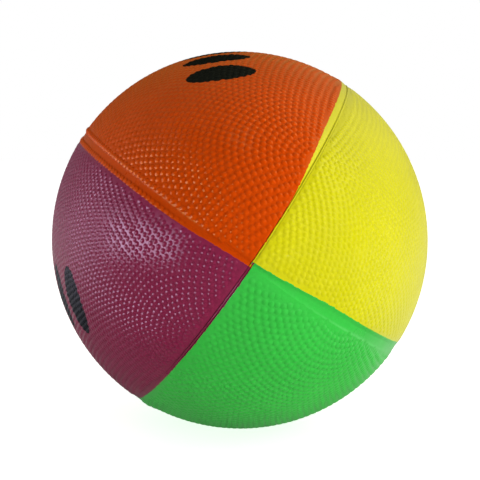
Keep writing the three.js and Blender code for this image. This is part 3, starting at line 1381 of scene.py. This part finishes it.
    def risen(self, arc: Array, turn: Array) -> PebbleSet:
        """Keeps the pebbles that the panel has room for, lower beside its smooth strips.

        Args:
            arc: Arcs of the pebbles from the ball's middle.
            turn: Angles from the panel's middle.

        Returns:
            The pebbles.
        """
        design = self.design
        angle = sum(self.seams) / 2 + turn
        radius = self.meridian.radius(arc)
        rise = smoothstep(design.bare_tip, self.tip_fade * design.bare_tip, radius)
        rise = rise * self.relief.relief_share(radius)
        room = rise > 0.0
        from_first = radius * np.sin(angle - self.seams[0]) - self.before.last_edge.at(radius)
        from_last = radius * np.sin(self.seams[1] - angle)
        for sideways, margin in ((from_first, design.first_margin), (from_last, design.last_margin)):
            inside = sideways - margin.at(radius)
            room &= inside > 0.0
            share = smoothstep(0.0, margin.fade, inside)
            rise = rise * (self.edge_rise + (1.0 - self.edge_rise) * share)
        return self.seated(arc[room], angle[room], rise[room])

    def border(self, row: BorderRow) -> PebbleSet:
        """Lays a row of pebbles along the panel's last seam.

        Args:
            row: The row's sizes.

        Returns:
            The pebbles.
        """
        arc = np.arange(-self.meridian.reach, self.meridian.reach, row.pitch)
        arc = arc[self.meridian.radius(arc) > row.first_radius]
        radius = self.meridian.radius(arc)
        angle = self.seams[1] + np.arcsin(row.at(radius) / radius)
        rise = row.height_share * smoothstep(row.first_radius, row.full_radius, radius)
        return self.seated(arc, angle, rise)

    def seated(self, arc: Array, angle: Array, rise: Array) -> PebbleSet:
        """Seats pebbles on the skin, flattened where the ball rests.

        Args:
            arc: Arcs of the pebbles from the ball's middle.
            angle: Angles round the long axis.
            rise: Height of each as a share of the full height.

        Returns:
            The pebbles.
        """
        latitude = self.meridian.latitude(arc)
        points = self.shape.point(latitude, angle, self.height(latitude, angle))
        rise = rise * smoothstep(0.0, self.rest_clearance, points[:, 2] - self.shape.rest_level)
        room = rise > self.least_rise
        if self.valve:
            room &= self.valve.distance(points) > self.valve.pad_outer[1] + self.pad_clearance
        share = self.low_width + (1.0 - self.low_width) * np.minimum(1.0, rise / self.wide_rise)
        width = self.design.pebble_spread * share
        scale = np.stack([width, width, self.design.pebble_rise * rise], axis=-1)
        return PebbleSet(points[room], self.shape.normal(latitude, angle)[room], scale[room])

    def build(self, pebbles: PebbleField) -> list[Piece]:
        """Builds and dresses the panel.

        Args:
            pebbles: The tree that grows pebbles.

        Returns:
            The skin and its pebbles.
        """
        rubber = RubberFinish(self.hue, self.shape, self.design, self.before).material()
        skin = self.build_skin()
        dress(skin, rubber)
        domes = pebbles.grow(f"{self.hue.value}_pebbles", self.pebble_layout(), rubber)
        for piece in (skin, domes):
            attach(piece, "ball")
        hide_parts(self.hue.node)
        return [skin, domes]


@dataclass
class Cover:
    """The four panels of the cover."""

    shape: BallShape = field(default_factory=BallShape)
    valve: ValvePlace = field(default_factory=ValvePlace.from_frame)
    pebbles: PebbleField = field(default_factory=PebbleField)

    DESIGNS = {
        Hue.ORANGE: PanelDesign(
            colour=linear(209, 68, 2),
            sheen=(1.0, 0.90, 0.15),
            gloss=0.36,
            groove_painted_shade=0.55,
            groove_end=(9 * MM, 18 * MM),
            last_edge=ColourEdge(0.70 * MM, 2.1 * MM),
            first_margin=PebbleMargin(0.4 * MM, 0.5 * MM),
            last_margin=PebbleMargin(1.2 * MM, 2.4 * MM, ramp_end=25 * MM, fade=0.4 * MM),
            arc_centre=ArcCentre(math.radians(-54), -74 * MM),
            pebble_spread=1.04,
            pebble_rise=1.04,
            bare_tip=1.4 * MM,
            border_rows=(
                BorderRow(-1.0 * MM, -1.5 * MM),
                BorderRow(
                    0.4 * MM, 1.75 * MM, first_radius=14 * MM, full_radius=26 * MM, height_share=0.5
                ),
            ),
            print_band=PrintBand(sideways=-2.3 * MM),
        ),
        Hue.PURPLE: PanelDesign(
            colour=linear(140, 35, 73),
            gloss=0.50,
            groove_painted_shade=0.4,
            groove_end=(16 * MM, 36 * MM),
            last_edge=ColourEdge(0.45 * MM, 0.5 * MM),
            first_margin=PebbleMargin(0.6 * MM, 1.0 * MM, ramp_end=25 * MM),
            last_margin=PebbleMargin(0.9 * MM, 0.9 * MM, fade=0.8 * MM),
            arc_centre=ArcCentre(math.radians(59), -82 * MM),
            pebble_spread=0.885,
            pebble_rise=0.885,
            bare_tip=2.4 * MM,
            print_band=PrintBand(sideways=4.9 * MM),
        ),
        Hue.GREEN: PanelDesign(
            colour=linear(56, 198, 70),
            gloss=0.62,
            groove_painted_shade=0.25,
            groove_end=(16 * MM, 36 * MM),
            last_edge=ColourEdge(0.70 * MM, 2.1 * MM),
            first_margin=PebbleMargin(0.5 * MM, 0.9 * MM, fade=1.2 * MM),
            last_margin=PebbleMargin(1.6 * MM, 1.4 * MM, fade=2.2 * MM),
            arc_centre=ArcCentre(math.radians(88), -76 * MM),
            pebble_spread=1.05,
            pebble_rise=0.9,
            bare_tip=2.2 * MM,
        ),
        Hue.YELLOW: PanelDesign(
            colour=linear(212, 207, 9),
            gloss=0.36,
            groove_painted_shade=0.32,
            groove_end=(18 * MM, 42 * MM),
            last_edge=ColourEdge(0.14 * MM, 2.1 * MM, 13 * MM, 42 * MM),
            first_margin=PebbleMargin(0.5 * MM, 0.7 * MM, ramp_end=25 * MM, fade=0.4 * MM),
            last_margin=PebbleMargin(0.7 * MM, 1.2 * MM, fade=0.6 * MM),
            arc_centre=ArcCentre(math.radians(44), -72 * MM),
            pebble_spread=0.91,
            pebble_rise=0.70,
            bare_tip=1.6 * MM,
        ),
    }

    def build(self) -> list[Piece]:
        """Builds and dresses all four panels.

        Returns:
            Their skins and pebbles.
        """
        meridian = Meridian(self.shape)
        relief = SeamRelief(self.shape)
        pieces = []
        for hue, design in self.DESIGNS.items():
            valve = self.valve if hue is Hue.YELLOW else None
            before = self.DESIGNS[hue.before]
            panel = CoverPanel(hue, self.shape, meridian, relief, design, before, valve)
            pieces += panel.build(self.pebbles)
        return pieces


@dataclass
class NeedleValve:
    """Rubber valve body in the yellow panel and the plug that is pushed into it."""

    place: ValvePlace
    turns: int = 64
    crease: float = math.radians(35)
    edge_round: float = 0.35 * MM
    round_points: int = 6
    stem_radius: float = 4.5 * MM
    seat_radius: float = 3.5 * MM
    seat_depth: float = 1.5 * MM
    bore_radius: float = 2.5 * MM
    flange_radius: float = 9.5 * MM
    flange_top: float = 6.4 * MM
    flange_under: float = 7.6 * MM
    nose_radius: float = 3.7 * MM
    nose_depth: float = 13.2 * MM
    head_radius: float = 3.2 * MM
    head_thickness: float = 1.2 * MM
    dish_depth: float = 0.35 * MM
    dish_foot: Span = (2.43 * MM, 0.28 * MM)
    dish_rim_radius: float = 2.64 * MM
    shank_radius: float = 2.2 * MM
    shank_depth: float = 12.2 * MM
    needle_radius: float = 0.9 * MM
    needle_depth: float = 9 * MM
    needle_lead: float = 0.6 * MM

    def turned(self, name: str, outline: list[Span], ring: bool) -> Piece:
        """Turns an outline about the valve's axis.

        Args:
            name: Name of the piece.
            outline: Radius and depth below the valve's face of each point.
            ring: True for a closed outline off the axis, False for one from axis to axis.

        Returns:
            The turned piece.
        """
        levels = [(radius, self.place.face_level - depth) for radius, depth in outline]
        piece = revolved(name, self.place.axis, LONG_AXIS, levels, self.turns, ring)
        smooth(piece, self.crease)
        return piece

    def rounded(self, corner: Span, inward: float) -> list[Span]:
        """Quarter round over a square corner at the top of an outline.

        Args:
            corner: The corner's radius and depth.
            inward: Side on which the round's centre lies, as a sign for the radius.

        Returns:
            Points of the round, from the flat face to the side wall.
        """
        radius = corner[0] + inward * self.edge_round
        depth = corner[1] + self.edge_round
        return [
            (
                radius - inward * self.edge_round * math.sin(angle),
                depth - self.edge_round * math.cos(angle),
            )
            for angle in np.linspace(0.0, math.pi / 2, self.round_points)
        ]

    def build_body(self) -> Piece:
        """Builds the valve body: stem, seat for the plug's head, bore, flange and nose.

        Returns:
            The valve body.
        """
        outline = [
            *self.rounded((self.seat_radius, 0.0), 1.0)[::-1],
            *self.rounded((self.stem_radius, 0.0), -1.0),
            (self.stem_radius, self.flange_top),
            *self.rounded((self.flange_radius, self.flange_top), -1.0),
            (self.flange_radius, self.flange_under),
            (self.stem_radius, self.flange_under),
            (self.nose_radius, self.nose_depth),
            (self.bore_radius, self.nose_depth),
            (self.bore_radius, self.seat_depth),
            (self.seat_radius, self.seat_depth),
        ]
        return self.turned("valve_body", outline, ring=True)

    def build_plug(self) -> Piece:
        """Builds the plug: dished head, needle hole with a funnel mouth, and shank.

        Returns:
            The plug.
        """
        outline = [
            (0.0, self.needle_depth),
            (self.needle_radius, self.needle_depth),
            (self.needle_radius, self.needle_lead + self.dish_depth),
            (self.needle_radius + self.needle_lead, self.dish_depth),
            self.dish_foot,
            (self.dish_rim_radius, 0.0),
            *self.rounded((self.head_radius, 0.0), -1.0),
            (self.head_radius, self.head_thickness),
            (self.shank_radius, self.head_thickness),
            (self.shank_radius, self.shank_depth - self.edge_round),
            (self.shank_radius - self.edge_round, self.shank_depth),
            (0.0, self.shank_depth),
        ]
        return self.turned("needle_plug", outline, ring=False)

    def build(self) -> list[Piece]:
        """Builds and dresses the valve.

        Returns:
            The valve body and the plug.
        """
        body = self.build_body()
        dress(body, DarkFinish("valve_body_rubber", linear(34, 34, 36), (0.42, 0.58)).material())
        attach(body, "ball")
        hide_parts("valve_housing")
        plug = self.build_plug()
        dress(plug, DarkFinish("plug_soft_rubber", linear(44, 44, 46), (0.36, 0.5)).material())
        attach(plug, "plug")
        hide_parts("valve_plug")
        return [body, plug]


@dataclass
class InnerLayers:
    """The layers under the cover, which keep the frame's own solids."""

    FINISHES = {
        "carcass": DarkFinish("carcass_rubber_finish", linear(46, 44, 44), (0.65, 0.85)),
        "thread_winding": DarkFinish(
            "wound_thread_finish", linear(226, 220, 202), (0.75, 0.95), Grain.WOUND
        ),
        "bladder": DarkFinish("bladder_rubber_finish", linear(32, 32, 35), (0.45, 0.65)),
        "valve_patch": DarkFinish("patch_rubber_finish", linear(40, 40, 43), (0.6, 0.8)),
    }

    def dress(self) -> list[Piece]:
        """Gives each layer its finish.

        Returns:
            The layers.
        """
        for name, finish in self.FINISHES.items():
            dress(frame["nodes"][name], finish.material())
        return [frame["nodes"][name] for name in self.FINISHES]


def bearing(azimuth: float, elevation: float) -> Vector:
    """Direction from the ball, with azimuth 0 along -Y and the elevation above the horizon."""
    level = math.cos(elevation)
    return Vector((math.sin(azimuth) * level, -math.cos(azimuth) * level, math.sin(elevation)))


@dataclass(frozen=True)
class Softbox:
    """Rectangular lamp that faces the ball.

    Its azimuth is 0 degrees on the camera's side and 90 at the right, and its power is in watts.
    """

    name: str
    azimuth: float
    elevation: float
    away: float
    size: Span
    power: float
    tint: Colour = WHITE
    lights_matt: bool = True
    mirrored: bool = True

    def hang(self) -> None:
        """Hangs the lamp."""
        light = bpy.data.lights.new(self.name, "AREA")
        light.shape = "RECTANGLE"
        light.size, light.size_y = self.size
        light.energy = self.power
        light.color = self.tint
        lamp = placed(self.name, light)
        back = bearing(math.radians(self.azimuth), math.radians(self.elevation))
        lamp.location = back * self.away
        lamp.rotation_euler = (-back).to_track_quat("-Z", "Y").to_euler()
        lamp.visible_diffuse = self.lights_matt
        lamp.visible_glossy = self.mirrored


@dataclass
class Studio:
    """Pale floor, white surroundings, soft lamps and the camera at the photograph's angle."""

    shape: BallShape
    distance: float = 416 * MM
    azimuth: float = math.radians(-2.08)
    elevation: float = math.radians(4.36)
    focal_pixels: float = 1477.6
    frame_pixels: int = 480
    ball_pixel: Span = (238.8, 237.9)
    sensor: float = 36.0
    world_light: float = 0.44
    floor_size: float = 6.0
    floor_albedo: float = 0.85
    floor_glow: float = 0.78
    floor_light: float = 0.18
    tent_radius: float = 1.6
    tent_top: float = 1.45
    tent_turns: int = 48
    tent_rings: int = 12
    cloth_hole: float = 16 * MM
    cloth_lift: float = 0.5 * MM
    table_glow: float = 0.6
    table_side: Colour = (0.4, 0.9, 0.0)
    table_span: Span = (-10 * MM, 45 * MM)
    table_fade: Span = (2 * MM, 60 * MM)

    WINDOW_TINT = (0.80, 0.70, 1.0)
    LAMP_TINT = (1.0, 0.93, 0.5)
    LAMPS = (
        Softbox("left_softbox", -80.0, -2.0, 0.7, (0.66, 0.46), 6.5, WINDOW_TINT, lights_matt=False),
        Softbox("left_panel", -136.0, -6.0, 1.0, (1.2, 0.7), 0.5, WINDOW_TINT),
        Softbox("right_softbox", 104.0, 42.0, 1.0, (0.7, 0.5), 1.7, LAMP_TINT),
        Softbox("right_panel", 150.0, 15.0, 1.0, (0.7, 0.8), 0.6, LAMP_TINT),
        Softbox("right_fill", 66.0, 18.0, 1.0, (0.7, 0.5), 2.1, mirrored=False),
        Softbox("front_fill", 45.0, 3.0, 0.8, (0.6, 0.09), 2.6, mirrored=False),
        Softbox("left_fill", -88.0, 3.0, 0.8, (0.8, 0.09), 1.6, mirrored=False),
    )

    def build(self) -> None:
        """Sets up the floor, surroundings, lamps and camera."""
        self.lay_floor()
        self.hang_dark_tent()
        self.light_world()
        for lamp in self.LAMPS:
            lamp.hang()
        self.set_camera()
        bpy.context.scene.view_settings.view_transform = "Standard"

    @staticmethod
    def glow(bench: NodeBench, seen: float, scattered: float) -> Socket:
        """Strength of a glow that has one strength to the eye and another as light on the ball.

        Args:
            bench: The nodes of the glowing material.
            seen: Strength for rays from the camera and for reflected or passed ones.
            scattered: Strength for scattered light.

        Returns:
            The strength.
        """
        path = bench.add("ShaderNodeLightPath").outputs
        mirrored = bench.math("MAXIMUM", path["Is Glossy Ray"], path["Is Transmission Ray"])
        share = bench.math("MAXIMUM", path["Is Camera Ray"], mirrored)
        return bench.math("MULTIPLY_ADD", share, seen - scattered, scattered)

    def lay_floor(self) -> None:
        """Lays a pale floor that keeps the ball's shadow."""
        half = self.floor_size / 2
        corners = [(-half, -half), (half, -half), (half, half), (-half, half)]
        points = np.array([(x, y, self.shape.rest_level) for x, y in corners])
        floor = mesh_object("floor", points, [(0, 1, 2, 3)])
        material, bench = node_material("pale_floor")
        albedo = (self.floor_albedo,) * 3 + (1.0,)
        paper = bench.result("ShaderNodeBsdfDiffuse", {"Color": albedo})
        strength = self.glow(bench, self.floor_glow, self.floor_light)
        lift = bench.result("ShaderNodeEmission", {"Strength": strength})
        both = bench.result("ShaderNodeAddShader", {0: paper, 1: lift})
        bench.add("ShaderNodeOutputMaterial", {"Surface": both})
        dress(floor, material)

    def hang_dark_tent(self) -> None:
        """Hangs dark cloth round and under the ball, which glows like a pale table behind it and to its right.

        Only reflections show it, which keeps the colours deep.
        """
        level = self.shape.rest_level + self.cloth_lift
        hem = math.asin(level / self.tent_radius)
        outline = [(self.cloth_hole, level)]
        for climb in np.linspace(hem, self.tent_top, self.tent_rings):
            outline.append((self.tent_radius * math.cos(climb), self.tent_radius * math.sin(climb)))
        tent = revolved("dark_tent", UP, RIGHT, outline, self.tent_turns)
        material, bench = node_material("dark_tent_cloth")
        material.cycles.emission_sampling = "NONE"
        # Behind and to the right of the ball the cloth glows, standing in for a lit pale table.
        sideways = bench.ramp(bench.along(self.table_side), self.table_span, (0.0, self.table_glow))
        fade = (level + self.table_fade[0], level + self.table_fade[1])
        low = bench.ramp(bench.along(UP), fade, (1.0, 0.0))
        table = bench.result("ShaderNodeEmission", {"Strength": bench.math("MULTIPLY", sideways, low)})
        bench.add("ShaderNodeOutputMaterial", {"Surface": table})
        dress(tent, material)
        tent.visible_camera = False
        tent.visible_diffuse = False
        tent.visible_shadow = False

    def light_world(self) -> None:
        """Makes the surroundings white to the eye, and a plain soft light on the ball."""
        world = bpy.data.worlds.new("white_studio")
        world.use_nodes = True
        world.cycles.sampling_method = "NONE"
        bpy.context.scene.world = world
        bench = NodeBench(world.node_tree)
        strength = self.glow(bench, 1.0, self.world_light)
        white = bench.result("ShaderNodeBackground", {"Color": (*WHITE, 1.0), "Strength": strength})
        bench.add("ShaderNodeOutputWorld", {"Surface": white})

    def set_camera(self) -> None:
        """Sets the camera at the photograph's angle, with the ball at its place in the frame."""
        camera = bpy.data.cameras.new("camera")
        camera.sensor_width = self.sensor
        camera.lens = self.sensor * self.focal_pixels / self.frame_pixels
        view = placed("camera", camera)
        back = bearing(self.azimuth, self.elevation)
        right = Vector(UP).cross(back).normalized()
        up = back.cross(right)
        scale = self.distance / self.focal_pixels
        middle = self.frame_pixels / 2
        aim = right * (middle - self.ball_pixel[0]) * scale - up * (middle - self.ball_pixel[1]) * scale
        view.location = back * self.distance
        view.rotation_euler = (aim - view.location).to_track_quat("-Z", "Y").to_euler()
        bpy.context.scene.camera = view


def main() -> None:
    """Builds the ball's looks and the studio, and reports each piece."""
    logging.basicConfig(level=logging.INFO, format="%(name)s: %(message)s")
    cover = Cover()
    pieces = cover.build()
    pieces += NeedleValve(cover.valve).build()
    pieces += InnerLayers().dress()
    for piece in pieces:
        piece.data.calc_loop_triangles()
        LOG.info("%s has %d triangles", piece.name, len(piece.data.loop_triangles))
    Studio(cover.shape).build()


if __name__ == "__main__":
    main()
